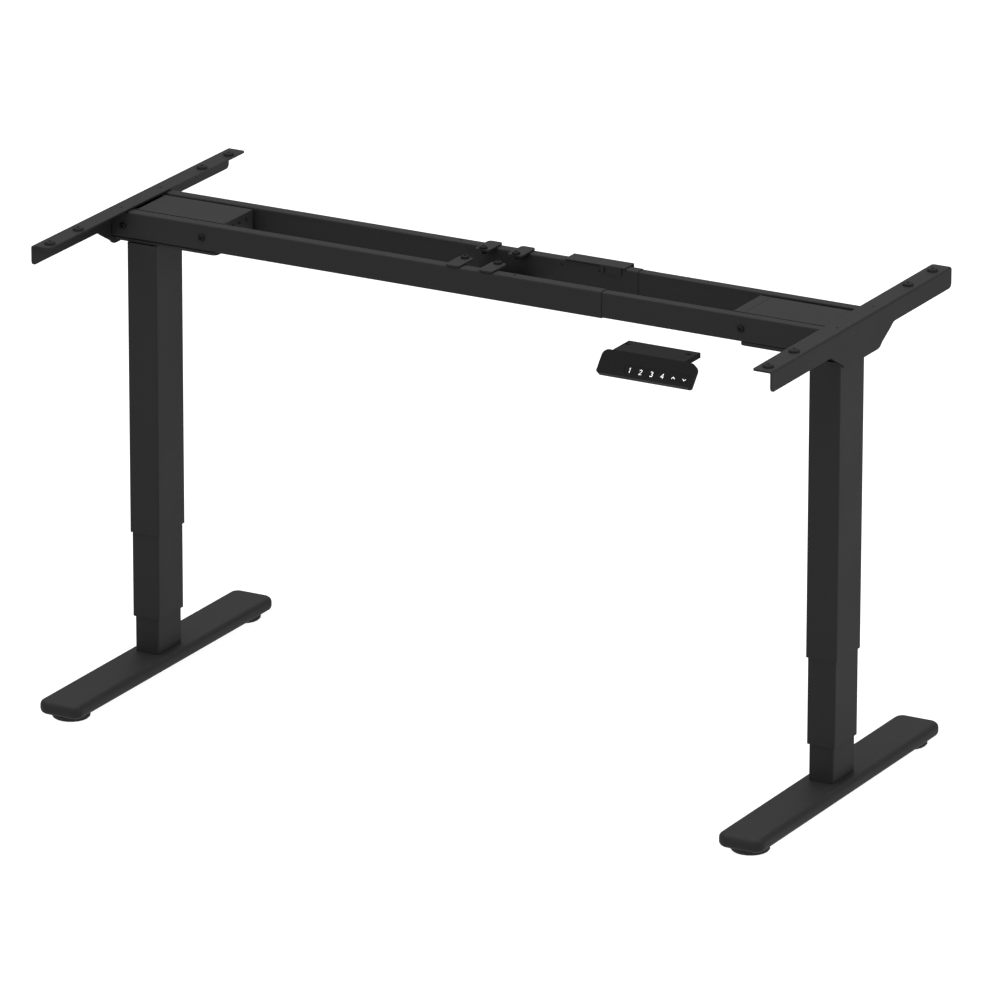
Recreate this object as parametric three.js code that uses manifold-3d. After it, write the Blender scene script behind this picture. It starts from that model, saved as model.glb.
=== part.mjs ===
// Height adjustable desk frame: two three-stage electric lifting columns, a telescoping crossbar
// of two rails, two desktop brackets and a hand control. Millimetres, +X right, +Y rear, +Z up.
// The design frame has the columns at y = 0 and the floor at z = 0; the exported group shifts it
// so that the origin is on the floor under the middle of the whole frame.
import * as THREE from "three";
import { mergeVertices } from "three/addons/utils/BufferGeometryUtils.js";
import Module from "manifold-3d";

const wasm = await Module();
wasm.setup();

// ---- Driving dimensions -------------------------------------------------------------------
const GAP = 0.3; // running or assembly gap between neighbouring pieces
const SIDES = [
  { name: "left", sign: -1 },
  { name: "right", sign: 1 },
];
const COLUMN_X = 622; // half the distance between the two columns

const GLIDE = { radius: 31.5, height: 10, studRadius: 5, studTop: 28, front: -277, rear: 271 };
const FOOT = { bottom: 10.3, top: 34, width: 80, front: -320, rear: 313, edge: 9, corner: 17 };
const FOOT_WALL = 2.5;

// Column tubes, biggest at the top: width along X, depth along Y, corner radius, span in Z.
const OUTER = { w: 55, d: 85, r: 3.2, wall: 1.5, z0: 241.5, z1: 737.7 };
const MIDDLE = { w: 50, d: 80, r: 3, wall: 1.5, z0: 95.6, z1: 585 };
const INNER = { w: 44, d: 74, r: 2.8, wall: 1.5, z0: FOOT.top + GAP, z1: 488 };
const BUSHING = { length: 40, clear: 0.25 };
const BASE_NUT = { z0: 456, z1: 487 };
const BEARING = { z0: 548, z1: 584.5, pocket: 562 };
const LOWER_SPINDLE = { radius: 12, bore: 8, flange: 16, z0: 180, z1: 575 };
const DRIVE_SPINDLE = { radius: 7, z0: 350, wheelRadius: 13, wheelZ: 758, wheelHeight: 12 };
const BORE_CLEAR = 0.4; // radial clearance of a spindle in its nut or bearing

// Crossbar rails: the left pair are the outer tubes, the right pair slide inside them.
const RAIL = { w: 20, h: 45, r: 3.5, wall: 1, z0: 742.7, clear: 0.25 };
const RAIL_Y = { front: -38.2, rear: 84.2 };
const OUTER_RAIL_X = [-680, 222];
const INNER_RAIL_X = [-310, 648];

// Motor casing: a folded box between the rails, on a base plate that reaches under both rails.
const CASING = { front: RAIL_Y.front + RAIL.w + GAP, rear: 72, wall: 1.5, baseBottom: 738, baseCorner: 9 };
const MOTOR = { radius: 19.5, length: 95, y: 18.6, z: 764.3, shaft: 3, worm: 5 };
const GEARBOX = { inboard: 28, outboard: 22, front: -16.1, rear: 46, bottom: 744.2, top: 784.6 };
// Along X for each side: outer end of the casing, inner end, end of its end cover, where its top
// plate starts, and how much smaller than the outer rails the rails beside it are.
const CASING_X = {
  left: { outer: -680, inner: -484, cover: -480, topFrom: -644, inset: 0 },
  right: { outer: 648, inner: 468, cover: 448, topFrom: 630, inset: RAIL.wall + RAIL.clear },
};
const COVER_SCREW = { radius: 1.8, y: [9.5, 28.6, 51], z: 777 };

const CLAMP = { width: 26, thick: 3, reach: 50, overhang: 1.8, x: [-47, 13], boltInset: 43, boltRadius: 3.3 };
const CENTRE_PLATE = { x0: -66, x1: 32, thick: 3, y0: -26, y1: 92 };

const BRACKET = { y0: -281, y1: 338, top: 792.1, flange: 34.5, web: 34, thick: 3, bend: 4, corner: 8 };
const BRACKET_WEB_X = { left: -684, right: 652.8 }; // outer face of each bracket's web
const GUSSET = { y: 28, halfBottom: 62, halfTop: 105, bottom: 727 };
const PAD = { radius: 9, hole: 3, height: 4.6, y: [-260, -173, 218, 304] };
const PAD_X = { left: -661.5, right: 635.5 };
const SMALL_HOLE = { radius: 2.2, y: [-33, 92], outwards: 3 };

const BOX_HANGER = { x0: 91, x1: 200, thick: 2, lip: 13, slotX: 163, reach: 8 };
const CONTROL_BOX = { x0: 60, x1: 230, z0: 700, z1: 772, depth: 28 };

const HANDSET = {
  x: 457.5,
  panelWidth: 165,
  panelHeight: 41,
  panelDepth: 11,
  topY: -311.6, // upper edge of the panel's face
  topZ: 795.9,
  lean: 40.8, // degrees from the vertical
  shoulder: 11, // corner radius at the panel's upper ends
  corner: 4,
  flange: [391.5, 517.5],
  flangeRear: -260,
  flangeThick: 8.5,
  flangeTop: 796.4,
  slotX: [398, 505],
  slotY: -277,
};
const KEY = { width: 15, height: 13, depth: 3, travel: 0.6, s: 27.6, pitch: 19.05, firstX: 429.8 };
const KEY_NAMES = ["key_1", "key_2", "key_3", "key_4", "key_up", "key_down"];

const LEAN = THREE.MathUtils.degToRad(HANDSET.lean);
const ORIGIN = {
  x: (BRACKET_WEB_X.left + COLUMN_X + FOOT.width / 2) / 2,
  y: (HANDSET.topY - HANDSET.panelHeight * Math.sin(LEAN) + BRACKET.y1) / 2,
};

// ---- Materials ----------------------------------------------------------------------------
function material(color, roughness, metalness) {
  return new THREE.MeshStandardMaterial({ color, roughness, metalness });
}
const powderCoat = () => material(0x1b1b1c, 0.62, 0.25);
const rubber = () => material(0x101010, 0.85, 0);
const blackPlastic = () => material(0x161617, 0.5, 0);
const acetal = () => material(0x1d1d1e, 0.45, 0);
const steel = () => material(0x8d9094, 0.38, 0.9);
const brass = () => material(0xb08d4a, 0.4, 0.9);
const keyCap = () => material(0x1a1b1d, 0.35, 0);

// ---- Solids -------------------------------------------------------------------------------
function toSolid(geometry) {
  const plain = (geometry.index ? geometry.toNonIndexed() : geometry).clone();
  plain.deleteAttribute("normal");
  plain.deleteAttribute("uv");
  const merged = mergeVertices(plain, 1e-4);
  return new wasm.Manifold(
    new wasm.Mesh({
      numProp: 3,
      vertProperties: merged.attributes.position.array,
      triVerts: new Uint32Array(merged.index.array),
    }),
  );
}

function toGeometry(solid) {
  const mesh = solid.getMesh();
  const geometry = new THREE.BufferGeometry();
  geometry.setAttribute("position", new THREE.BufferAttribute(new Float32Array(mesh.vertProperties), 3));
  geometry.setIndex(new THREE.BufferAttribute(new Uint32Array(mesh.triVerts), 1));
  const flat = geometry.toNonIndexed();
  flat.computeVertexNormals();
  return flat;
}

function join(...geometries) {
  return toGeometry(geometries.map(toSolid).reduce((sum, part) => sum.add(part)));
}

function cut(body, ...tools) {
  return toGeometry(tools.map(toSolid).reduce((rest, tool) => rest.subtract(tool), toSolid(body)));
}

function common(...geometries) {
  return toGeometry(geometries.map(toSolid).reduce((rest, part) => rest.intersect(part)));
}

// A box given by its low and high corners.
function block(x0, x1, y0, y1, z0, z1) {
  const geometry = new THREE.BoxGeometry(x1 - x0, y1 - y0, z1 - z0);
  return geometry.translate((x0 + x1) / 2, (y0 + y1) / 2, (z0 + z1) / 2);
}

// The same, with its two X values in either order.
function spanBlock(xa, xb, ...rest) {
  return block(Math.min(xa, xb), Math.max(xa, xb), ...rest);
}

// A cylinder along an axis ("x", "y" or "z") from low to high, through the point given by the
// two other coordinates in X, Y, Z order.
function rod(axis, radius, low, high, a, b, sides = 16) {
  const geometry = new THREE.CylinderGeometry(radius, radius, high - low, sides);
  const middle = (low + high) / 2;
  if (axis === "z") return geometry.rotateX(Math.PI / 2).translate(a, b, middle);
  if (axis === "x") return geometry.rotateZ(-Math.PI / 2).translate(middle, a, b);
  return geometry.translate(a, middle, b);
}

// A rectangle with rounded corners, centred at (cx, cy).
function roundedRect(cx, cy, width, height, radius, Outline = THREE.Shape) {
  const x = cx - width / 2;
  const y = cy - height / 2;
  const outline = new Outline();
  outline.moveTo(x + radius, y);
  outline.lineTo(x + width - radius, y);
  outline.absarc(x + width - radius, y + radius, radius, -Math.PI / 2, 0);
  outline.lineTo(x + width, y + height - radius);
  outline.absarc(x + width - radius, y + height - radius, radius, 0, Math.PI / 2);
  outline.lineTo(x + radius, y + height);
  outline.absarc(x + radius, y + height - radius, radius, Math.PI / 2, Math.PI);
  outline.lineTo(x, y + radius);
  outline.absarc(x + radius, y + radius, radius, Math.PI, 1.5 * Math.PI);
  outline.closePath();
  return outline;
}

// A span measured inwards from the column, as low and high X.
function alongX(inward, low, high) {
  return inward > 0 ? [low, high] : [-high, -low];
}

function polygon(points) {
  return new THREE.Shape(points.map(([x, y]) => new THREE.Vector2(x, y)));
}

// Extrudes an outline drawn in the plane across an axis: XY for z, YZ for x, XZ for y.
function extrude(shape, axis, low, high, curveSegments = 3) {
  const settings = { depth: high - low, bevelEnabled: false, curveSegments };
  const geometry = new THREE.ExtrudeGeometry(shape, settings);
  geometry.translate(0, 0, low);
  if (axis === "z") return geometry;
  const basis = new THREE.Matrix4();
  if (axis === "x") basis.set(0, 0, 1, 0, 1, 0, 0, 0, 0, 1, 0, 0, 0, 0, 0, 1);
  else basis.set(1, 0, 0, 0, 0, 0, 1, 0, 0, 1, 0, 0, 0, 0, 0, 1);
  geometry.applyMatrix4(basis);
  // The XZ basis mirrors the outline, so its faces are turned round again.
  return axis === "y" ? flipped(geometry) : geometry;
}

function flipped(geometry) {
  const positions = geometry.attributes.position;
  const point = (index) => new THREE.Vector3().fromBufferAttribute(positions, index);
  for (let i = 0; i < positions.count; i += 3) {
    const second = point(i + 1);
    const third = point(i + 2);
    positions.setXYZ(i + 1, third.x, third.y, third.z);
    positions.setXYZ(i + 2, second.x, second.y, second.z);
  }
  return geometry;
}

// A solid of revolution about Z: [radius, z] points from the bottom of the axis to the top.
function turned(points, sides = 20) {
  const profile = points.map(([radius, z]) => new THREE.Vector2(radius, z));
  return new THREE.LatheGeometry(profile, sides).rotateX(Math.PI / 2);
}

function rectTube({ w, d, r, wall, z0, z1 }) {
  const shape = roundedRect(0, 0, w, d, r);
  const bore = roundedRect(0, 0, w - 2 * wall, d - 2 * wall, r - wall, THREE.Path);
  shape.holes.push(bore);
  return extrude(shape, "z", z0, z1);
}

// A slab whose plan has rounded corners and whose edges are rounded all round.
function roundedSlab(width, y0, y1, z0, z1, corner, edge, steps = 4) {
  const rings = [];
  for (let i = 0; i <= 2 * steps + 1; i += 1) {
    const turn = ((i <= steps ? i : i - 1) / steps) * (Math.PI / 2);
    const inset = edge * (1 - Math.sin(turn));
    const rise = edge * (1 - Math.abs(Math.cos(turn)));
    const outline = roundedRect(0, (y0 + y1) / 2, width - 2 * inset, y1 - y0 - 2 * inset, corner - inset);
    const height = i <= steps ? z0 + rise : z1 - rise;
    rings.push(outline.getPoints(steps).slice(0, -1).map(({ x, y }) => [x, y, height]));
  }
  const count = rings[0].length;
  const triangles = [];
  for (let i = 0; i < count; i += 1) {
    const next = (i + 1) % count;
    for (let level = 0; level + 1 < rings.length; level += 1) {
      const [low, high] = [rings[level], rings[level + 1]];
      triangles.push(low[i], low[next], high[next], low[i], high[next], high[i]);
    }
  }
  for (let i = 1; i + 1 < count; i += 1) {
    const [low, high] = [rings[0], rings.at(-1)];
    triangles.push(low[0], low[i + 1], low[i], high[0], high[i], high[i + 1]);
  }
  const geometry = new THREE.BufferGeometry();
  geometry.setAttribute("position", new THREE.Float32BufferAttribute(triangles.flat(), 3));
  return geometry;
}

const frame = new THREE.Group();
frame.position.set(-ORIGIN.x, -ORIGIN.y, 0);

function add(group, name, geometry, finish) {
  const mesh = new THREE.Mesh(geometry, finish);
  mesh.name = name;
  group.add(mesh);
  return mesh;
}

// ---- Foot, glides and column ----------------------------------------------------------------
// Formed steel foot: a channel open underneath, with returned lips and two bosses for the glides.
function foot() {
  const { bottom, top, width, front, rear, edge, corner } = FOOT;
  const skin = roundedSlab(width, front, rear, bottom, top, corner, edge);
  const rim = 10;
  const roof = top - 2 * FOOT_WALL;
  const half = width / 2 - rim / 2;
  const mouthHalf = width / 2 - 1.5 * rim;
  const cavity = block(-half, half, front + rim, rear - rim, bottom + 2 * FOOT_WALL, roof);
  const mouth = block(-mouthHalf, mouthHalf, front + 2 * rim, rear - 2 * rim, bottom - 1, roof);
  const ends = [GLIDE.front, GLIDE.rear];
  const bosses = ends.map((y) => rod("z", 11, bottom + 1, top - 1, 0, y));
  const threadRadius = GLIDE.studRadius + BORE_CLEAR;
  const threads = ends.map((y) => rod("z", threadRadius, bottom - 1, top - 3, 0, y));
  return cut(join(cut(skin, cavity, mouth), ...bosses), ...threads);
}

// Levelling glide: a round pad with a threaded stud.
function glide() {
  const { radius, height, studRadius, studTop } = GLIDE;
  return turned([
    [0, 0],
    [radius - 2.5, 0],
    [radius, 2.5],
    [radius, height - 3],
    [radius - 2, height - 1],
    [16, height],
    [studRadius, height],
    [studRadius, studTop],
    [0, studTop],
  ], 20);
}

// Plastic sleeve that fills the gap to the next tube, at the bottom end of the bigger one.
function bushing(tube, inner) {
  const { length, clear } = BUSHING;
  const outside = 2 * (tube.wall + clear);
  const shape = roundedRect(0, 0, tube.w - outside, tube.d - outside, tube.r - tube.wall);
  shape.holes.push(roundedRect(0, 0, inner.w + 2 * clear, inner.d + 2 * clear, inner.r + clear, THREE.Path));
  return extrude(shape, "z", tube.z0 + 1, tube.z0 + 1 + length);
}

// Nut block at the top of the inner tube, for the lower spindle.
function baseNut() {
  const gap = 2 * (INNER.wall + GAP);
  const plan = roundedRect(0, 0, INNER.w - gap, INNER.d - gap, 1.2);
  const body = extrude(plan, "z", BASE_NUT.z0, BASE_NUT.z1, 2);
  return cut(body, rod("z", LOWER_SPINDLE.radius + BORE_CLEAR, BASE_NUT.z0 - 1, BASE_NUT.z1 + 1, 0, 0));
}

// Bearing block at the top of the middle tube, which carries the lower spindle's flange.
function spindleBearing() {
  const gap = 2 * (MIDDLE.wall + GAP);
  const plan = roundedRect(0, 0, MIDDLE.w - gap, MIDDLE.d - gap, 1.4);
  const body = extrude(plan, "z", BEARING.z0, BEARING.z1, 2);
  return cut(
    body,
    rod("z", LOWER_SPINDLE.radius + BORE_CLEAR, BEARING.z0 - 1, BEARING.z1, 0, 0),
    rod("z", LOWER_SPINDLE.flange + BORE_CLEAR, BEARING.pocket, BEARING.z1 + 1, 0, 0),
  );
}

// Hollow lower spindle with its bearing flange.
function lowerSpindle() {
  const { radius, bore, flange, z0, z1 } = LOWER_SPINDLE;
  return turned([
    [bore, z0],
    [radius, z0],
    [radius, BEARING.pocket + GAP],
    [flange, BEARING.pocket + GAP],
    [flange, z1],
    [bore, z1],
    [bore, z0],
  ], 16);
}

// Drive spindle with the worm wheel at its top.
function driveSpindle() {
  const { radius, z0, wheelRadius, wheelZ, wheelHeight } = DRIVE_SPINDLE;
  const hub = radius + 4;
  return turned([
    [0, z0],
    [radius, z0 + 2],
    [radius, wheelZ - wheelHeight],
    [hub, wheelZ - wheelHeight],
    [hub, wheelZ],
    [wheelRadius, wheelZ],
    [wheelRadius, wheelZ + wheelHeight],
    [hub, wheelZ + wheelHeight],
    [hub, wheelZ + wheelHeight + 4],
    [0, wheelZ + wheelHeight + 4],
  ], 16);
}

// ---- Motor, gearbox and casing --------------------------------------------------------------
// Gearbox housing on top of the column, open below for the spindle and inwards for the worm.
function gearbox(inward) {
  const { inboard, outboard, front, rear, bottom, top } = GEARBOX;
  const wheelBore = DRIVE_SPINDLE.wheelRadius + 1;
  const roof = DRIVE_SPINDLE.wheelZ + DRIVE_SPINDLE.wheelHeight + 6;
  const centreX = (inward * (inboard - outboard)) / 2;
  const [wormLow, wormHigh] = alongX(inward, 4 - outboard, inboard + 1);
  const plan = roundedRect(centreX, (front + rear) / 2, inboard + outboard, rear - front, 5);
  return cut(
    extrude(plan, "z", bottom, top, 2),
    rod("z", wheelBore, bottom - 1, roof, 0, 0, 20),
    rod("x", MOTOR.worm + 1.5, wormLow, wormHigh, MOTOR.y, MOTOR.z, 12),
  );
}

// Motor can with its shaft and worm, pointing outwards along X to the gearbox.
function motor(inward) {
  const start = GEARBOX.inboard + GAP;
  const length = MOTOR.length;
  const parts = [
    [MOTOR.radius, start, start + length - 12, 20],
    [MOTOR.radius - 4, start + length - 12, start + length, 20],
    [MOTOR.shaft, 8, start + 1, 12],
    [MOTOR.worm, -16, 10, 12],
  ].map(([radius, low, high, sides]) => {
    const [from, to] = alongX(inward, low, high);
    return rod("x", radius, from, to, MOTOR.y, MOTOR.z, sides);
  });
  return join(...parts);
}

// Height of the rails' tops and of the base plate's top at one side's casing.
function casingLevels(side) {
  const { inset } = CASING_X[side.name];
  return { top: RAIL.z0 + RAIL.h - inset, baseTop: RAIL.z0 + inset - GAP };
}

// Folded box, open at its outer end, on the base plate.
function casing(side) {
  const { front, rear, wall, baseBottom, baseCorner } = CASING;
  const { outer, inner, topFrom, inset } = CASING_X[side.name];
  const { top, baseTop } = casingLevels(side);
  const walls = [front, rear - wall].map((y) => spanBlock(outer, inner, y, y + wall, baseBottom + 1, top));
  const roof = spanBlock(topFrom, inner, front, rear, top - wall, top);
  const y0 = RAIL_Y.front + inset;
  const y1 = RAIL_Y.rear + RAIL.w - inset;
  const width = Math.abs(outer - inner);
  const plan = roundedRect((outer + inner) / 2, (y0 + y1) / 2, width, y1 - y0, baseCorner);
  const base = extrude(plan, "z", baseBottom, baseTop, 4);
  const spindleHole = rod("z", 15, baseBottom - 1, baseTop + 1, side.sign * COLUMN_X, 0, 20);
  return cut(join(base, roof, ...walls), spindleHole);
}

// End cover that closes the casing's inner end between the rails.
function endCover(side) {
  const { front, rear, wall } = CASING;
  const { inner, cover } = CASING_X[side.name];
  const { top, baseTop } = casingLevels(side);
  const start = inner - side.sign * GAP;
  const back = cover + side.sign * wall;
  const low = baseTop + GAP;
  const plate = spanBlock(cover, back, front, rear, low, top);
  const tongue = spanBlock(start, cover, front, rear, top - wall, top);
  const turnUnder = spanBlock(start, cover, front, rear, low, low + wall);
  const holeLow = Math.min(cover, back) - 1;
  const screwHoles = COVER_SCREW.y.map((y) => {
    return rod("x", COVER_SCREW.radius, holeLow, holeLow + wall + 2, y, COVER_SCREW.z, 10);
  });
  return cut(join(plate, tongue, turnUnder), ...screwHoles);
}

// ---- Crossbar -------------------------------------------------------------------------------
function railTube(y0, x0, x1, inset) {
  const width = RAIL.w - 2 * inset;
  const height = RAIL.h - 2 * inset;
  const cy = y0 + RAIL.w / 2;
  const cz = RAIL.z0 + RAIL.h / 2;
  const radius = RAIL.r - inset;
  const shape = roundedRect(cy, cz, width, height, radius);
  const [boreWidth, boreHeight] = [width - 2 * RAIL.wall, height - 2 * RAIL.wall];
  shape.holes.push(roundedRect(cy, cz, boreWidth, boreHeight, radius - RAIL.wall, THREE.Path));
  return extrude(shape, "x", x0, x1, 4);
}

function outerRail(y0, holes) {
  return cut(railTube(y0, ...OUTER_RAIL_X, 0), ...holes);
}

function innerRail(y0) {
  return railTube(y0, ...INNER_RAIL_X, RAIL.wall + RAIL.clear);
}

// Clamp tab that lies over a rail and reaches inwards to its vertical bolt.
function clampTab(x, outerY, inward) {
  const { width, thick, reach, boltInset, boltRadius } = CLAMP;
  const z0 = RAIL.z0 + RAIL.h + GAP;
  const centreY = outerY + inward * (reach / 2);
  const plate = extrude(roundedRect(x, centreY, width, reach, 6), "z", z0, z0 + thick, 3);
  return cut(plate, rod("z", boltRadius, z0 - 1, z0 + thick + 1, x, outerY + inward * boltInset, 12));
}

// Plate under both rails that the four clamp bolts pull up.
function centrePlate() {
  const { x0, x1, thick, y0, y1 } = CENTRE_PLATE;
  const top = RAIL.z0 - GAP;
  const plan = roundedRect((x0 + x1) / 2, (y0 + y1) / 2, x1 - x0, y1 - y0, 6);
  const holes = clampBolts().map(([x, y]) => rod("z", CLAMP.boltRadius, top - thick - 1, top + 1, x, y, 12));
  return cut(extrude(plan, "z", top - thick, top, 3), ...holes);
}

function clampBolts() {
  const { front, rear } = clampOuterY();
  const rows = [front + CLAMP.boltInset, rear - CLAMP.boltInset];
  return CLAMP.x.flatMap((x) => rows.map((y) => [x, y]));
}

function clampOuterY() {
  return { front: RAIL_Y.front - CLAMP.overhang, rear: RAIL_Y.rear + RAIL.w + CLAMP.overhang };
}

// ---- Desktop bracket ------------------------------------------------------------------------
// Folded angle: a flange under the desktop and an outer web with a gusset down over the column.
function bracket(side) {
  const { y0, y1, top, flange, web, thick, bend, corner } = BRACKET;
  const outer = BRACKET_WEB_X[side.name];
  const inward = -side.sign;
  const low = top - web;
  const flangeInner = outer + inward * flange;
  const bendX = outer + inward * bend;
  const plan = roundedRect((flangeInner + bendX) / 2, (y0 + y1) / 2, flange - bend, y1 - y0, 5);
  const flangePlate = join(
    extrude(plan, "z", top - thick, top, 3),
    spanBlock(bendX, bendX + inward * 6, y0, y1, top - thick, top),
  );
  const { y: middle, halfBottom, halfTop, bottom } = GUSSET;
  const outline = new THREE.Shape();
  outline.moveTo(y0, top - bend);
  outline.lineTo(y0, low + corner);
  outline.absarc(y0 + corner, low + corner, corner, Math.PI, 1.5 * Math.PI);
  outline.lineTo(middle - halfTop - 8, low);
  outline.quadraticCurveTo(middle - halfTop, low, middle - halfTop + 6, low - 6);
  outline.lineTo(middle - halfBottom - 6, bottom + 8);
  outline.quadraticCurveTo(middle - halfBottom, bottom, middle - halfBottom + 10, bottom);
  outline.lineTo(middle + halfBottom - 10, bottom);
  outline.quadraticCurveTo(middle + halfBottom, bottom, middle + halfBottom + 6, bottom + 8);
  outline.lineTo(middle + halfTop - 6, low - 6);
  outline.quadraticCurveTo(middle + halfTop, low, middle + halfTop + 8, low);
  outline.lineTo(y1 - corner, low);
  outline.absarc(y1 - corner, low + corner, corner, -Math.PI / 2, 0);
  outline.lineTo(y1, top - bend);
  const inner = outer + inward * thick;
  const webPlate = extrude(outline, "x", Math.min(outer, inner), Math.max(outer, inner), 3);
  const bendOutline = new THREE.Shape();
  const turn = side.sign > 0 ? [0, Math.PI / 2] : [Math.PI, Math.PI / 2];
  bendOutline.moveTo(bendX, top - thick);
  bendOutline.lineTo(inner, top - bend);
  bendOutline.lineTo(outer, top - bend);
  bendOutline.absarc(bendX, top - bend, bend, ...turn, side.sign < 0);
  const bendStrip = extrude(bendOutline, "y", y0, y1, 4);
  const x = PAD_X[side.name];
  const smallX = x + side.sign * SMALL_HOLE.outwards;
  const hole = (radius, cx, cy, sides) => rod("z", radius, top - thick - 1, top + 1, cx, cy, sides);
  const holes = [
    ...PAD.y.map((y) => hole(PAD.hole, x, y, 12)),
    ...SMALL_HOLE.y.map((y) => hole(SMALL_HOLE.radius, smallX, y, 10)),
  ];
  return cut(join(flangePlate, webPlate, bendStrip), ...holes);
}

// Rubber pad between the bracket and the desktop, with the screw hole through it.
function pad() {
  const { radius, hole, height } = PAD;
  return turned([
    [hole, 0],
    [radius, 0],
    [radius, height * 0.55],
    [radius - 1.6, height],
    [hole, height],
    [hole, 0],
  ], 14);
}

// ---- Control box and hand control -------------------------------------------------------------
function controlBox() {
  const { x0, x1, z0, z1, depth } = CONTROL_BOX;
  const y0 = RAIL_Y.rear + RAIL.w + BOX_HANGER.reach + BOX_HANGER.thick + GAP;
  const face = roundedRect((x0 + x1) / 2, (z0 + z1) / 2, x1 - x0, z1 - z0, 5);
  const body = extrude(face, "y", y0, y0 + depth, 3);
  const sockets = [0, 1, 2].map((i) => {
    const x = x0 + 28 + i * 50;
    return block(x, x + 16, y0 + 8, y0 + 20, z0 - 1, z0 + 9);
  });
  return cut(body, ...sockets);
}

// Hanger folded over the rear rail: a short slotted lip inside, a long back for the box.
function boxHanger() {
  const { x0, x1, thick, lip, slotX, reach } = BOX_HANGER;
  const railTop = RAIL.z0 + RAIL.h + GAP;
  const inner = RAIL_Y.rear - GAP;
  const outer = RAIL_Y.rear + RAIL.w + reach;
  const top = block(x0, x1, inner - thick, outer + thick, railTop, railTop + thick);
  const back = block(x0, x1, outer, outer + thick, CONTROL_BOX.z0 + 10, railTop + thick);
  const frontLip = block(slotX - 8, slotX + 30, inner - thick, inner, railTop - lip, railTop + thick);
  const slot = block(slotX - 1.2, slotX + 1.2, inner - thick - 1, inner + 1, railTop - lip - 1, railTop - 2);
  return cut(join(top, back, frontLip), slot);
}

// Places geometry drawn on the panel's face: X along it, Y up its face, Z out of it.
function onFace(geometry) {
  return geometry.rotateX(Math.PI / 2 - LEAN).translate(0, HANDSET.topY, HANDSET.topZ);
}

function keyPocket(x) {
  const size = { w: KEY.width + 2 * GAP, h: KEY.height + 2 * GAP };
  const shape = roundedRect(x, -KEY.s, size.w, size.h, 2.3);
  return onFace(extrude(shape, "z", -KEY.depth - KEY.travel - GAP, 2, 2));
}

// Hand control: a flange that screws up under the desktop and a slanted panel with six keys.
function handsetBody() {
  const { x, panelWidth, panelHeight, panelDepth, shoulder, corner } = HANDSET;
  const { topY, topZ, flange, flangeRear, flangeThick, flangeTop, slotX, slotY } = HANDSET;
  const halfWidth = panelWidth / 2;
  const outline = new THREE.Shape();
  outline.moveTo(x - halfWidth + corner, -panelHeight);
  outline.lineTo(x + halfWidth - corner, -panelHeight);
  outline.absarc(x + halfWidth - corner, corner - panelHeight, corner, -Math.PI / 2, 0);
  outline.lineTo(x + halfWidth, -shoulder);
  outline.absarc(x + halfWidth - shoulder, -shoulder, shoulder, 0, Math.PI / 2);
  outline.lineTo(x - halfWidth + shoulder, 0);
  outline.absarc(x - halfWidth + shoulder, -shoulder, shoulder, Math.PI / 2, Math.PI);
  outline.lineTo(x - halfWidth, corner - panelHeight);
  outline.absarc(x - halfWidth + corner, corner - panelHeight, corner, Math.PI, 1.5 * Math.PI);
  const panel = onFace(extrude(outline, "z", -panelDepth, 0, 4));
  const flangeProfile = polygon([
    [topY + 0.3, topZ - 0.3],
    [topY + 8, topZ - 12],
    [topY + 16, flangeTop - flangeThick],
    [flangeRear, flangeTop - flangeThick],
    [flangeRear, flangeTop],
    [topY + 1.4, flangeTop],
  ]);
  const flangePlate = extrude(flangeProfile, "x", ...flange);
  const low = flangeTop - flangeThick - 1;
  const screwSlots = slotX.map((cx) => {
    return extrude(roundedRect(cx, slotY, 9, 5, 2.4), "z", low, flangeTop + 1, 3);
  });
  const keys = KEY_NAMES.map((_, i) => keyPocket(KEY.firstX + i * KEY.pitch));
  return cut(join(panel, flangePlate), ...screwSlots, ...keys);
}

function keyCapSolid() {
  const shape = roundedRect(0, 0, KEY.width, KEY.height, 2);
  return extrude(shape, "z", -KEY.depth, 0, 2);
}

// ---- Assembly -------------------------------------------------------------------------------
for (const side of SIDES) {
  const column = new THREE.Group();
  column.position.x = side.sign * COLUMN_X;
  frame.add(column);
  const piece = (name, geometry, finish) => add(column, `${side.name}_${name}`, geometry, finish);

  piece("foot", foot(), powderCoat());
  piece("glide_front", glide(), rubber()).position.y = GLIDE.front;
  piece("glide_rear", glide(), rubber()).position.y = GLIDE.rear;
  piece("inner_tube", rectTube(INNER), powderCoat());
  piece("base_nut", baseNut(), brass());
  piece("middle_tube", rectTube(MIDDLE), powderCoat());
  piece("lower_bushing", bushing(MIDDLE, INNER), acetal());
  piece("spindle_bearing", spindleBearing(), acetal());
  piece("lower_spindle", lowerSpindle(), steel());
  piece("outer_tube", rectTube(OUTER), powderCoat());
  piece("upper_bushing", bushing(OUTER, MIDDLE), acetal());
  piece("drive_spindle", driveSpindle(), steel());
  piece("gearbox", gearbox(-side.sign), blackPlastic());
  piece("motor", motor(-side.sign), steel());

  add(frame, `${side.name}_casing`, casing(side), powderCoat());
  add(frame, `${side.name}_end_cover`, endCover(side), powderCoat());
  add(frame, `${side.name}_bracket`, bracket(side), powderCoat());
  PAD.y.forEach((y, i) => {
    const mesh = add(frame, `${side.name}_pad_${i + 1}`, pad(), rubber());
    mesh.position.set(PAD_X[side.name], y, BRACKET.top + GAP / 2);
  });
}

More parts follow.
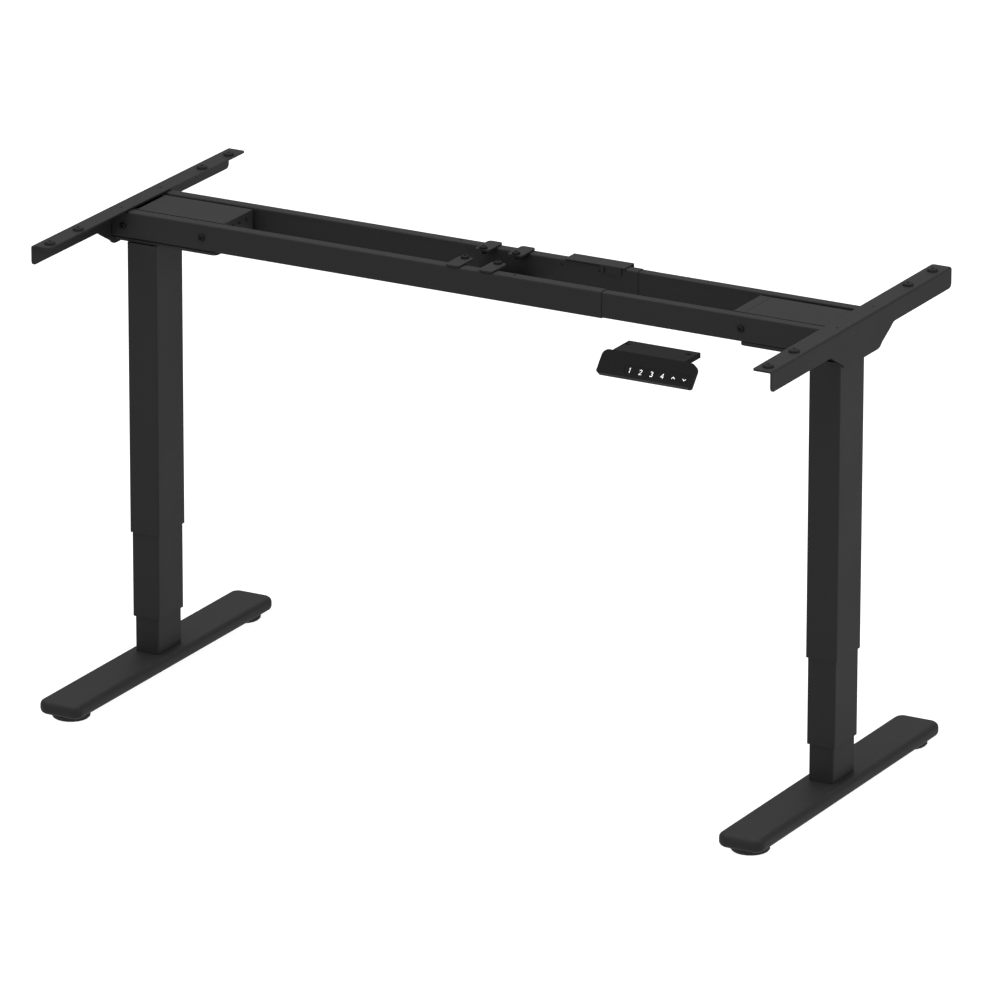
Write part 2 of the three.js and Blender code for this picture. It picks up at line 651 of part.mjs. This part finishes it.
const topHole = (x, y) => rod("z", 2.5, RAIL.z0 + RAIL.h - 6, RAIL.z0 + RAIL.h + 1, x, y, 10);
const faceHole = (x) => rod("y", 2.5, RAIL_Y.rear - 1, RAIL_Y.rear + 4, x, 778, 10);
const rearMiddle = RAIL_Y.rear + RAIL.w / 2;
const frontMiddle = RAIL_Y.front + RAIL.w / 2;
add(frame, "left_front_rail", outerRail(RAIL_Y.front, [topHole(61, frontMiddle)]), powderCoat());
const rearHoles = [topHole(-105, rearMiddle), faceHole(85), faceHole(154)];
add(frame, "left_rear_rail", outerRail(RAIL_Y.rear, rearHoles), powderCoat());
add(frame, "right_front_rail", innerRail(RAIL_Y.front), powderCoat());
add(frame, "right_rear_rail", innerRail(RAIL_Y.rear), powderCoat());

const clampEdge = clampOuterY();
CLAMP.x.forEach((x, i) => {
  add(frame, `clamp_front_${i + 1}`, clampTab(x, clampEdge.front, 1), powderCoat());
  add(frame, `clamp_rear_${i + 1}`, clampTab(x, clampEdge.rear, -1), powderCoat());
});
add(frame, "centre_plate", centrePlate(), powderCoat());
add(frame, "control_box", controlBox(), blackPlastic());
add(frame, "box_hanger", boxHanger(), powderCoat());

add(frame, "handset", handsetBody(), blackPlastic());
KEY_NAMES.forEach((name, i) => {
  const x = KEY.firstX + i * KEY.pitch;
  const mesh = add(frame, name, keyCapSolid(), keyCap());
  mesh.position.set(
    x,
    HANDSET.topY - KEY.s * Math.sin(LEAN),
    HANDSET.topZ - KEY.s * Math.cos(LEAN),
  );
  mesh.rotation.x = Math.PI / 2 - LEAN;
});

export default frame;
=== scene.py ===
import math

import bmesh
import bpy
from mathutils import Matrix, Vector


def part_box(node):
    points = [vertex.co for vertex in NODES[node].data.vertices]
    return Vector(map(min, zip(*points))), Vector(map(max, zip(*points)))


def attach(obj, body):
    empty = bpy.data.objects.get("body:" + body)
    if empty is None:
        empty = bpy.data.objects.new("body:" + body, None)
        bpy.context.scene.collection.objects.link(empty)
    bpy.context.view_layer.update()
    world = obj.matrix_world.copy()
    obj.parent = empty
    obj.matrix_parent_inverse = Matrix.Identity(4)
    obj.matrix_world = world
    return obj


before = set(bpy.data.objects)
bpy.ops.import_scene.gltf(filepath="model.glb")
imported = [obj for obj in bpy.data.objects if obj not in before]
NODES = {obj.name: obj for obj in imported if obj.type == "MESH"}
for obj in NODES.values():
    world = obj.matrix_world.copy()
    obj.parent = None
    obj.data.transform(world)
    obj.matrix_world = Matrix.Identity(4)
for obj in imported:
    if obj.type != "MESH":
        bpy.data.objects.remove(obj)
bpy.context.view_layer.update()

MM = 0.001
UP = Vector((0, 0, 1))
X = Vector((1, 0, 0))
Y = Vector((0, 1, 0))
SIDES = (("left", -1), ("right", 1))


# ---- Camera, floor and light ---------------------------------------------------------------
CAMERA_DISTANCE = 16.449
CAMERA_AZIMUTH = math.radians(28.97)
CAMERA_ELEVATION = math.radians(18.81)
CAMERA_ROLL = math.radians(0.113)
CAMERA_LENS = 360.94
AIM_RIGHT = 0.0169
AIM_UP = 1.0367
AIM_BASE = Vector((0.011, 0.000195, -0.7032))  # where the aim's offsets are measured from

# Name, place, aim, width, height, watts.
LIGHTS = (
    ("light_top", (-1.7, 0.8, 14), (-0.2, 0, 0), 17, 17, 4200),
    ("light_front", (-1.0, -7.0, 3.4), (0, 0, 0.5), 5, 3, 240),
    ("light_right", (5.5, -0.6, 2.6), (0, 0, 0.6), 3, 3, 150),
)
WORLD_SEEN = 1
WORLD_CAST = 0.5
FLOOR_HALF = 30
FLOOR_Z = -0.0004
FLOOR_TONE = 0.18
FLOOR_GLOW = 0.95


def add_camera():
    a, e = CAMERA_AZIMUTH, CAMERA_ELEVATION
    level = Vector((math.cos(a), math.sin(a), 0))
    back = Vector((math.sin(a) * math.cos(e), -math.cos(a) * math.cos(e), math.sin(e)))
    plumb = back.cross(level)
    right = math.cos(CAMERA_ROLL) * level + math.sin(CAMERA_ROLL) * plumb
    top = math.cos(CAMERA_ROLL) * plumb - math.sin(CAMERA_ROLL) * level
    place = AIM_BASE + AIM_RIGHT * level + AIM_UP * plumb + CAMERA_DISTANCE * back
    data = bpy.data.cameras.new("camera")
    data.lens = CAMERA_LENS
    data.sensor_width = 36
    data.clip_end = 200
    camera = bpy.data.objects.new("camera", data)
    rotation = Matrix((right, top, back)).transposed().to_4x4()
    camera.matrix_world = Matrix.Translation(place) @ rotation
    bpy.context.scene.collection.objects.link(camera)
    bpy.context.scene.camera = camera


def area_light(name, place, aim, width, height, watts):
    data = bpy.data.lights.new(name, "AREA")
    data.shape = "RECTANGLE"
    data.size = width
    data.size_y = height
    data.energy = watts
    light = bpy.data.objects.new(name, data)
    light.location = place
    light.rotation_euler = (Vector(aim) - Vector(place)).to_track_quat("-Z", "Y").to_euler()
    bpy.context.scene.collection.objects.link(light)


def add_world():
    """Even white surroundings, shown brighter than the light that they cast."""
    world = bpy.data.worlds.new("studio")
    bpy.context.scene.world = world
    world.use_nodes = True
    nodes, links = world.node_tree.nodes, world.node_tree.links
    nodes.clear()
    seen = nodes.new("ShaderNodeBackground")
    seen.inputs["Color"].default_value = (1, 1, 1, 1)
    seen.inputs["Strength"].default_value = WORLD_SEEN
    cast = nodes.new("ShaderNodeBackground")
    cast.inputs["Color"].default_value = (1, 1, 1, 1)
    cast.inputs["Strength"].default_value = WORLD_CAST
    path = nodes.new("ShaderNodeLightPath")
    mix = nodes.new("ShaderNodeMixShader")
    out = nodes.new("ShaderNodeOutputWorld")
    links.new(path.outputs["Is Camera Ray"], mix.inputs["Fac"])
    links.new(cast.outputs[0], mix.inputs[1])
    links.new(seen.outputs[0], mix.inputs[2])
    links.new(mix.outputs[0], out.inputs["Surface"])


def add_floor():
    """Plain white floor that glows a little, so that it takes almost no shadow."""
    floor_mesh = bpy.data.meshes.new("floor")
    half = FLOOR_HALF
    corners = [(-half, -half, 0), (half, -half, 0), (half, half, 0), (-half, half, 0)]
    floor_mesh.from_pydata(corners, [], [(0, 1, 2, 3)])
    floor = bpy.data.objects.new("floor", floor_mesh)
    floor.location.z = FLOOR_Z
    bpy.context.scene.collection.objects.link(floor)
    paint = bpy.data.materials.new("floor_paint")
    paint.use_nodes = True
    shader = paint.node_tree.nodes["Principled BSDF"]
    shader.inputs["Base Color"].default_value = (FLOOR_TONE, FLOOR_TONE, FLOOR_TONE, 1)
    shader.inputs["Emission Color"].default_value = (1, 1, 1, 1)
    shader.inputs["Emission Strength"].default_value = FLOOR_GLOW
    shader.inputs["Roughness"].default_value = 1
    shader.inputs["Specular IOR Level"].default_value = 0
    floor_mesh.materials.append(paint)


def add_studio():
    for light in LIGHTS:
        area_light(*light)
    add_world()
    add_floor()
    view = bpy.context.scene.view_settings
    view.view_transform = "Standard"
    view.look = "None"


# ---- Materials -----------------------------------------------------------------------------
class Paint:
    """A Principled material whose nodes are added one by one."""

    def __init__(self, name, roughness, metallic=0.0, specular=0.5):
        self.material = bpy.data.materials.new(name)
        self.material.use_nodes = True
        self.nodes = self.material.node_tree.nodes
        self.links = self.material.node_tree.links
        self.shader = self.nodes["Principled BSDF"]
        self.shader.inputs["Roughness"].default_value = roughness
        self.shader.inputs["Metallic"].default_value = metallic
        self.shader.inputs["Specular IOR Level"].default_value = specular
        self.place = self.nodes.new("ShaderNodeTexCoord").outputs["Object"]

    def stretched(self, scale):
        mapping = self.nodes.new("ShaderNodeMapping")
        mapping.inputs["Scale"].default_value = scale
        self.links.new(self.place, mapping.inputs["Vector"])
        return mapping.outputs["Vector"]

    def noise(self, scale, detail=2.0, roughness=0.5, vector=None):
        node = self.nodes.new("ShaderNodeTexNoise")
        node.inputs["Scale"].default_value = scale
        node.inputs["Detail"].default_value = detail
        node.inputs["Roughness"].default_value = roughness
        self.links.new(vector or self.place, node.inputs["Vector"])
        return node.outputs["Fac"]

    def spots(self, scale):
        node = self.nodes.new("ShaderNodeTexVoronoi")
        node.inputs["Scale"].default_value = scale
        self.links.new(self.place, node.inputs["Vector"])
        return node.outputs["Distance"]

    def ramp(self, value, *stops):
        node = self.nodes.new("ShaderNodeValToRGB")
        elements = node.color_ramp.elements
        while len(elements) < len(stops):
            elements.new(0.5)
        for element, (position, colour) in zip(elements, stops):
            element.position = position
            grey = colour if isinstance(colour, tuple) else (colour,) * 3
            element.color = (*grey, 1)
        self.links.new(value, node.inputs["Fac"])
        return node.outputs["Color"]

    def maths(self, operation, a, b):
        node = self.nodes.new("ShaderNodeMath")
        node.operation = operation
        for socket, value in zip(node.inputs, (a, b)):
            if isinstance(value, (int, float)):
                socket.default_value = value
            else:
                self.links.new(value, socket)
        return node.outputs[0]

    def mixed(self, factor, a, b, blend="MIX"):
        node = self.nodes.new("ShaderNodeMix")
        node.data_type = "RGBA"
        node.blend_type = blend
        for index, value in ((0, factor), (6, a), (7, b)):
            socket = node.inputs[index]
            if isinstance(value, (int, float)):
                socket.default_value = value
            elif isinstance(value, tuple):
                socket.default_value = (*value, 1)
            else:
                self.links.new(value, socket)
        return node.outputs[2]

    def colour(self, value):
        self.links.new(value, self.shader.inputs["Base Color"])

    def rough(self, value):
        self.links.new(value, self.shader.inputs["Roughness"])

    def bump(self, *layers):
        normal = None
        for height, distance, strength in layers:
            node = self.nodes.new("ShaderNodeBump")
            node.inputs["Distance"].default_value = distance
            node.inputs["Strength"].default_value = strength
            self.links.new(height, node.inputs["Height"])
            if normal:
                self.links.new(normal, node.inputs["Normal"])
            normal = node.outputs["Normal"]
        self.links.new(normal, self.shader.inputs["Normal"])


def grey(value):
    return (value, value, value * 1.02)


def powder_coat(name, tone=0.0098, roughness=0.6, specular=0.11):
    """Matt black powder coat: fine grain, a soft orange peel, cloudy tone and a few rub marks."""
    paint = Paint(name, roughness, specular=specular)
    clouds = paint.noise(5, 3)
    grain = paint.noise(1500, 2, 0.6)
    peel = paint.noise(420, 2)
    base = paint.ramp(clouds, (0.3, grey(tone * 0.93)), (0.7, grey(tone * 1.08)))
    speckle = paint.ramp(grain, (0.35, 0.86), (0.5, 1.0), (0.68, 1.16))
    toned = paint.mixed(1.0, base, speckle, "MULTIPLY")
    streaks = paint.noise(90, 4, 0.7, paint.stretched((1, 0.16, 1)))
    marks = paint.ramp(streaks, (0.7, 0.0), (0.78, 0.35))
    paint.colour(paint.mixed(marks, toned, grey(tone * 1.45)))
    mottled = paint.ramp(clouds, (0.3, roughness - 0.04), (0.7, roughness + 0.05))
    paint.rough(paint.mixed(marks, mottled, (roughness - 0.1,) * 3))
    paint.bump((peel, 0.00005, 0.5), (grain, 0.00003, 0.55))
    return paint.material


def moulded(name, tone=0.008, roughness=0.55, specular=0.12, grain_scale=2200):
    """Spark-textured black plastic with a faint flow variation."""
    paint = Paint(name, roughness, specular=specular)
    clouds = paint.noise(14, 2)
    grain = paint.noise(grain_scale, 2, 0.65)
    base = paint.ramp(clouds, (0.3, grey(tone * 0.93)), (0.7, grey(tone * 1.07)))
    speckle = paint.ramp(grain, (0.35, 0.9), (0.65, 1.1))
    paint.colour(paint.mixed(1.0, base, speckle, "MULTIPLY"))
    paint.rough(paint.ramp(clouds, (0.3, roughness - 0.03), (0.7, roughness + 0.04)))
    paint.bump((grain, 0.00002, 0.5))
    return paint.material


def rubber(name, tone=0.012):
    """Matt rubber with a dusty bloom and a slightly pitted skin."""
    paint = Paint(name, 0.82, specular=0.2)
    bloom = paint.noise(60, 3)
    pits = paint.spots(1400)
    paint.colour(paint.ramp(bloom, (0.35, grey(tone * 0.9)), (0.75, grey(tone * 1.35))))
    paint.rough(paint.ramp(bloom, (0.3, 0.76), (0.7, 0.9)))
    paint.bump((pits, 0.00003, 0.4))
    return paint.material


def turned_metal(name, colour, roughness, stretch=(1, 1, 40)):
    """Machined metal with fine turning marks across its axis and a few darker stains."""
    paint = Paint(name, roughness, metallic=1.0)
    lines = paint.noise(160, 3, 0.6, paint.stretched(stretch))
    stain = paint.noise(35, 3)
    dark = tuple(c * 0.8 for c in colour)
    tone = paint.ramp(stain, (0.35, dark), (0.6, colour))
    paint.colour(paint.mixed(1.0, tone, paint.ramp(lines, (0.3, 0.92), (0.7, 1.05)), "MULTIPLY"))
    paint.rough(paint.ramp(lines, (0.3, roughness - 0.06), (0.7, roughness + 0.08)))
    paint.bump((lines, 0.00002, 0.4))
    return paint.material


def acetal(name, tone):
    """Dark acetal with a slight mould texture."""
    paint = Paint(name, 0.45, specular=0.4)
    clouds = paint.noise(40, 2)
    grain = paint.noise(1800, 2)
    paint.colour(paint.ramp(clouds, (0.3, grey(tone * 0.9)), (0.7, grey(tone * 1.1))))
    paint.rough(paint.ramp(grain, (0.3, 0.4), (0.7, 0.52)))
    paint.bump((grain, 0.00002, 0.3))
    return paint.material


def ink(name, tone):
    """White printed figure, slightly uneven at its edge."""
    paint = Paint(name, 0.5, specular=0.3)
    cover = paint.noise(3000, 2)
    paint.colour(paint.ramp(cover, (0.25, grey(tone * 0.85)), (0.6, grey(tone))))
    return paint.material


POWDER = powder_coat("powder_coat_black")
POWDER_TUBE = powder_coat("powder_coat_tube", tone=0.0098, roughness=0.58)
PLASTIC = moulded("plastic_black")
HANDSET = moulded("plastic_handset", tone=0.0038, roughness=0.55, specular=0.05)
KEYS = moulded("plastic_keys", tone=0.0038, roughness=0.55, specular=0.05, grain_scale=3000)
RUBBER = rubber("rubber_glide")
PAD_RUBBER = rubber("rubber_pad", tone=0.006)
STEEL = turned_metal("steel_turned", (0.5, 0.51, 0.52), 0.32)
BRASS = turned_metal("brass_turned", (0.55, 0.4, 0.2), 0.35)
BOLT = moulded("bolt_black", tone=0.0035, roughness=0.5, specular=0.08)
ACETAL = acetal("acetal_dark", 0.035)
WHITE_INK = ink("ink_white", 0.75)


# ---- Carried-over CAD nodes ------------------------------------------------------------------
def dress(node, material, width=0.5, segments=2):
    """Gives a CAD node its material, rounded edges and smooth shading, by modifiers only."""
    piece = NODES[node]
    piece.data.materials.clear()
    piece.data.materials.append(material)
    for face in piece.data.polygons:
        face.use_smooth = True
    weld = piece.modifiers.new("weld", "WELD")
    weld.merge_threshold = 0.00001
    flat = piece.modifiers.new("flat", "DECIMATE")
    flat.decimate_type = "DISSOLVE"
    flat.angle_limit = math.radians(0.3)
    bevel = piece.modifiers.new("bevel", "BEVEL")
    bevel.limit_method = "ANGLE"
    bevel.angle_limit = math.radians(40)
    bevel.width = width * MM
    bevel.segments = segments
    bevel.harden_normals = True
    normals = piece.modifiers.new("normals", "WEIGHTED_NORMAL")
    normals.keep_sharp = True
    return piece


def dress_column(side):
    for part in ("inner_tube", "middle_tube", "outer_tube"):
        dress(f"{side}_{part}", POWDER_TUBE, 0.3)
    for part in ("foot", "casing", "end_cover", "bracket"):
        dress(f"{side}_{part}", POWDER, 0.5)
    for part in ("glide_front", "glide_rear"):
        dress(f"{side}_{part}", RUBBER, 0.6)
    for part in ("lower_bushing", "upper_bushing", "spindle_bearing"):
        dress(f"{side}_{part}", ACETAL, 0.15)
    for part in ("lower_spindle", "drive_spindle", "motor"):
        dress(f"{side}_{part}", STEEL, 0.3)
    dress(f"{side}_base_nut", BRASS, 0.3)
    dress(f"{side}_gearbox", PLASTIC, 0.5)
    for index in range(1, 5):
        dress(f"{side}_pad_{index}", PAD_RUBBER, 0.3)


def dress_all():
    for side, _ in SIDES:
        dress_column(side)
        for end in ("front", "rear"):
            dress(f"{side}_{end}_rail", POWDER, 0.25)
    for name in (*CLAMPS, "centre_plate", "box_hanger"):
        dress(name, POWDER, 0.5)
    dress("control_box", PLASTIC, 0.6)
    dress("handset", HANDSET, 0.8, 3)
    for key in FIGURES:
        dress(key, KEYS, 0.25)


# ---- Turned and stamped pieces ---------------------------------------------------------------
def round_outline(angle):
    return 1.0


def hex_outline(angle):
    sixth = math.pi / 3
    return 1 / math.cos((angle + sixth / 2) % sixth - sixth / 2)


def cross_outline(angle):
    """A cross whose arms are a third as wide as the cross."""
    quarter = math.pi / 2
    local = abs((angle + quarter / 2) % quarter - quarter / 2)
    half_arm = 0.32
    return 1 / math.cos(local) if math.tan(local) < half_arm else half_arm / math.sin(local)


def turned(profile, sides=48):
    """A closed solid from rings of (outline, size, height), in millimetres."""
    mesh = bmesh.new()
    rings = []
    for outline, size, height in profile:
        ring = []
        for i in range(sides):
            angle = 2 * math.pi * i / sides
            reach = size * outline(angle) * MM
            ring.append(mesh.verts.new((reach * math.cos(angle), reach * math.sin(angle), height * MM)))
        rings.append(ring)
    for low, high in zip(rings, rings[1:]):
        for i in range(sides):
            j = (i + 1) % sides
            mesh.faces.new((low[i], low[j], high[j], high[i]))
    mesh.faces.new(list(reversed(rings[0])))
    mesh.faces.new(rings[-1])
    return mesh


def finish_piece(name, mesh, material, body, place=Vector(), towards=UP, spin=0.0, sharp=35):
    """Turns a bmesh into a piece at a place, with its Z pointing the given way."""
    data = bpy.data.meshes.new(name)
    bmesh.ops.recalc_face_normals(mesh, faces=mesh.faces)
    mesh.to_mesh(data)
    mesh.free()
    turn = UP.rotation_difference(towards).to_matrix().to_4x4()
    data.transform(Matrix.Translation(place) @ turn @ Matrix.Rotation(spin, 4, "Z"))
    for face in data.polygons:
        face.use_smooth = True
    data.set_sharp_from_angle(angle=math.radians(sharp))
    data.materials.append(material)
    piece = bpy.data.objects.new(name, data)
    bpy.context.scene.collection.objects.link(piece)
    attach(piece, body)
    return piece


def cap_screw(radius, height, socket, outline=hex_outline, depth=0.6):
    """Button head: a low dome with a socket, standing on z = 0."""
    rim = 0.28 * height
    profile = [(round_outline, radius * 0.985, 0.0), (round_outline, radius, 0.1), (round_outline, radius, rim)]
    for step in range(1, 6):
        angle = step / 5 * math.pi / 2 * 0.8
        size = socket * 1.25 + (radius - socket * 1.25) * math.cos(angle)
        profile.append((round_outline, size, rim + (height - rim) * math.sin(angle) / math.sin(0.4 * math.pi)))
    profile.append((outline, socket * 1.06, height - 0.02))
    profile.append((outline, socket, height - 0.2))
    profile.append((outline, socket, height * (1 - depth)))
    return turned(profile)


def washer(outer, thick):
    return turned([
        (round_outline, outer * 0.97, 0.0),
        (round_outline, outer, thick * 0.3),
        (round_outline, outer, thick * 0.7),
        (round_outline, outer * 0.97, thick),
    ])


def threaded(radius, length, pitch, tip=0.8):
    """A threaded rod from z = 0 down, as rings of crests and roots."""
    profile = [(round_outline, radius * 0.7, -length), (round_outline, radius * 0.86, -length + tip)]
    turns = int((length - tip) / pitch)
    for step in range(turns):
        low = -length + tip + step * pitch
        profile.append((round_outline, radius, low + 0.35 * pitch))
        profile.append((round_outline, radius, low + 0.5 * pitch))
        profile.append((round_outline, radius * 0.86, low + pitch))
    profile.append((round_outline, radius * 0.86, 0.0))
    return turned(profile, 24)


def hex_nut(flats, height):
    half = flats / 2
    return turned([
        (round_outline, half * 0.98, 0.0),
        (hex_outline, half, height * 0.08),
        (hex_outline, half, height * 0.92),
        (round_outline, half * 0.98, height),
    ])


# ---- Fasteners -------------------------------------------------------------------------------
CASING_BOLTS = (  # side, tag, x, z
    ("left", "a", -0.5001, 0.765),
    ("left", "b", -0.6477, 0.7624),
    ("right", "a", 0.4819, 0.765),
    ("right", "b", 0.6389, 0.7624),
)
CLAMPS = ("clamp_front_1", "clamp_front_2", "clamp_rear_1", "clamp_rear_2")
CLAMP_BOLT_INSET = 0.043
CLAMP_BOLT_RADIUS = 3.0
BOLT_TIP = 1.2  # how far a bolt reaches past its nut, mm
WASHER_THICK = 0.7
NUT_HEIGHT = 5.2
COVER_SCREW_Y = (0.009695, 0.028795, 0.051195)
COVER_SCREW_Z = 0.777


def casing_bolts():
    for side, tag, x, z in CASING_BOLTS:
        near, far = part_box(f"{side}_casing")
        for end, y, towards, spin in (("", near.y, -Y, 0.3), ("_rear", far.y, Y, 0.5)):
            name = f"{side}_casing_bolt_{tag}{end}"
            mesh = cap_screw(6.2, 3.4, 2.2)
            finish_piece(name, mesh, BOLT, f"{side}_frame", Vector((x, y, z)), towards, spin)


def clamp_bolts():
    """Front bolts go through the centre plate, rear ones end in a nut under their clamp."""
    plate_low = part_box("centre_plate")[0].z
    for name in CLAMPS:
        near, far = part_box(name)
        front = "front" in name
        y = near.y + CLAMP_BOLT_INSET if front else far.y - CLAMP_BOLT_INSET
        top = Vector(((near.x + far.x) / 2, y, far.z))
        nut_top = plate_low if front else near.z
        length = (far.z - nut_top) / MM + NUT_HEIGHT + BOLT_TIP
        label = name.replace("clamp", "clamp_bolt")
        parts = (
            ("head", cap_screw(6.5, 3.6, 2.4), top + WASHER_THICK * MM * UP, 0.2),
            ("washer", washer(7.6, WASHER_THICK), top, 0.0),
            ("shank", threaded(CLAMP_BOLT_RADIUS, length, 1.0), top, 0.0),
            ("nut", hex_nut(10, NUT_HEIGHT), Vector((top.x, top.y, nut_top - NUT_HEIGHT * MM)), 0.0),
        )
        for part, mesh, place, spin in parts:
            finish_piece(f"{label}_{part}", mesh, BOLT, "left_frame", place, UP, spin)


def cover_screws():
    for side, sign in SIDES:
        near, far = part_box(f"{side}_end_cover")
        face = far.x if side == "left" else near.x
        for index, y in enumerate(COVER_SCREW_Y):
            name = f"{side}_cover_screw_{index + 1}"
            mesh = cap_screw(3.1, 1.5, 1.5, cross_outline, 0.7)
            place = Vector((face, y, COVER_SCREW_Z))
            finish_piece(name, mesh, BOLT, f"{side}_frame", place, -sign * X)


# ---- Figures on the keys -----------------------------------------------------------------------
PANEL_LEAN = math.radians(40.8)
PANEL_OUT = Vector((0, -math.cos(PANEL_LEAN), math.sin(PANEL_LEAN)))
PANEL_UP = Vector((0, math.sin(PANEL_LEAN), math.cos(PANEL_LEAN)))
FIGURES = {
    "key_1": [[(-1.3, 2.6), (0.3, 4), (0.3, -4)]],
    "key_2": [[(-2, 2.6), (-1.3, 3.7), (0, 4), (1.4, 3.6), (1.9, 2.2), (1.4, 0.6), (-2.1, -3.7), (2.2, -3.7)]],
    "key_3": [[(-2, 3.2), (-0.8, 4), (0.9, 3.9), (1.8, 2.9), (1.7, 1.3), (0.5, 0.3), (1.8, -0.7), (2, -2.4),
               (1.1, -3.7), (-0.7, -4), (-2.1, -3.2)]],
    "key_4": [[(1, -4), (1, 4), (-2.3, -1.6), (2.4, -1.6)]],
    "key_up": [[(-2.8, -1.3), (0, 1.5), (2.8, -1.3)]],
    "key_down": [[(-2.8, 1.3), (0, -1.5), (2.8, 1.3)]],
}

FIGURE_SHIFT = 1.5 * MM * X - 2.0 * MM * PANEL_UP
HALF_KEY_DEPTH = 1.5 * MM
HALF_STROKE = 0.5


def ribbon(mesh, points, half, low, high):
    """A closed bar of even width along a bent line."""
    left, right = [], []
    for i, point in enumerate(points):
        before = Vector(points[max(i - 1, 0)])
        after = Vector(points[min(i + 1, len(points) - 1)])
        here = Vector(point)
        leads = [leg.normalized() for leg in (here - before, after - here) if leg.length > 0]
        along = sum(leads, Vector((0, 0))).normalized()
        across = Vector((-along.y, along.x)) * min(half / max(along.dot(leads[0]), 0.4), 2 * half)
        left.append(here + across)
        right.append(here - across)
    rows = []
    for a, b in zip(left, right):
        corners = ((a, low), (b, low), (b, high), (a, high))
        rows.append([mesh.verts.new((p.x * MM, p.y * MM, z * MM)) for p, z in corners])
    for now, after in zip(rows, rows[1:]):
        for i in range(4):
            j = (i + 1) % 4
            mesh.faces.new((now[i], now[j], after[j], after[i]))
    mesh.faces.new(list(reversed(rows[0])))
    mesh.faces.new(rows[-1])


def panel_piece(name, mesh, material, body, place):
    """Lays a flat bmesh (X right, Y up the panel, Z outwards) on the panel at a place."""
    turn = Matrix((X, PANEL_UP, PANEL_OUT)).transposed()
    bmesh.ops.transform(mesh, matrix=turn.to_4x4(), verts=mesh.verts)
    return finish_piece(name, mesh, material, body, place)


def key_figures():
    for key, strokes in FIGURES.items():
        near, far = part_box(key)
        face = (near + far) / 2 + HALF_KEY_DEPTH * PANEL_OUT
        mesh = bmesh.new()
        for points in strokes:
            ribbon(mesh, points, HALF_STROKE, 0.01, 0.08)
        panel_piece(f"{key}_figure", mesh, WHITE_INK, key, face + FIGURE_SHIFT)


# ---- Build -----------------------------------------------------------------------------------
add_camera()
add_studio()
dress_all()
casing_bolts()
clamp_bolts()
cover_screws()
key_figures()
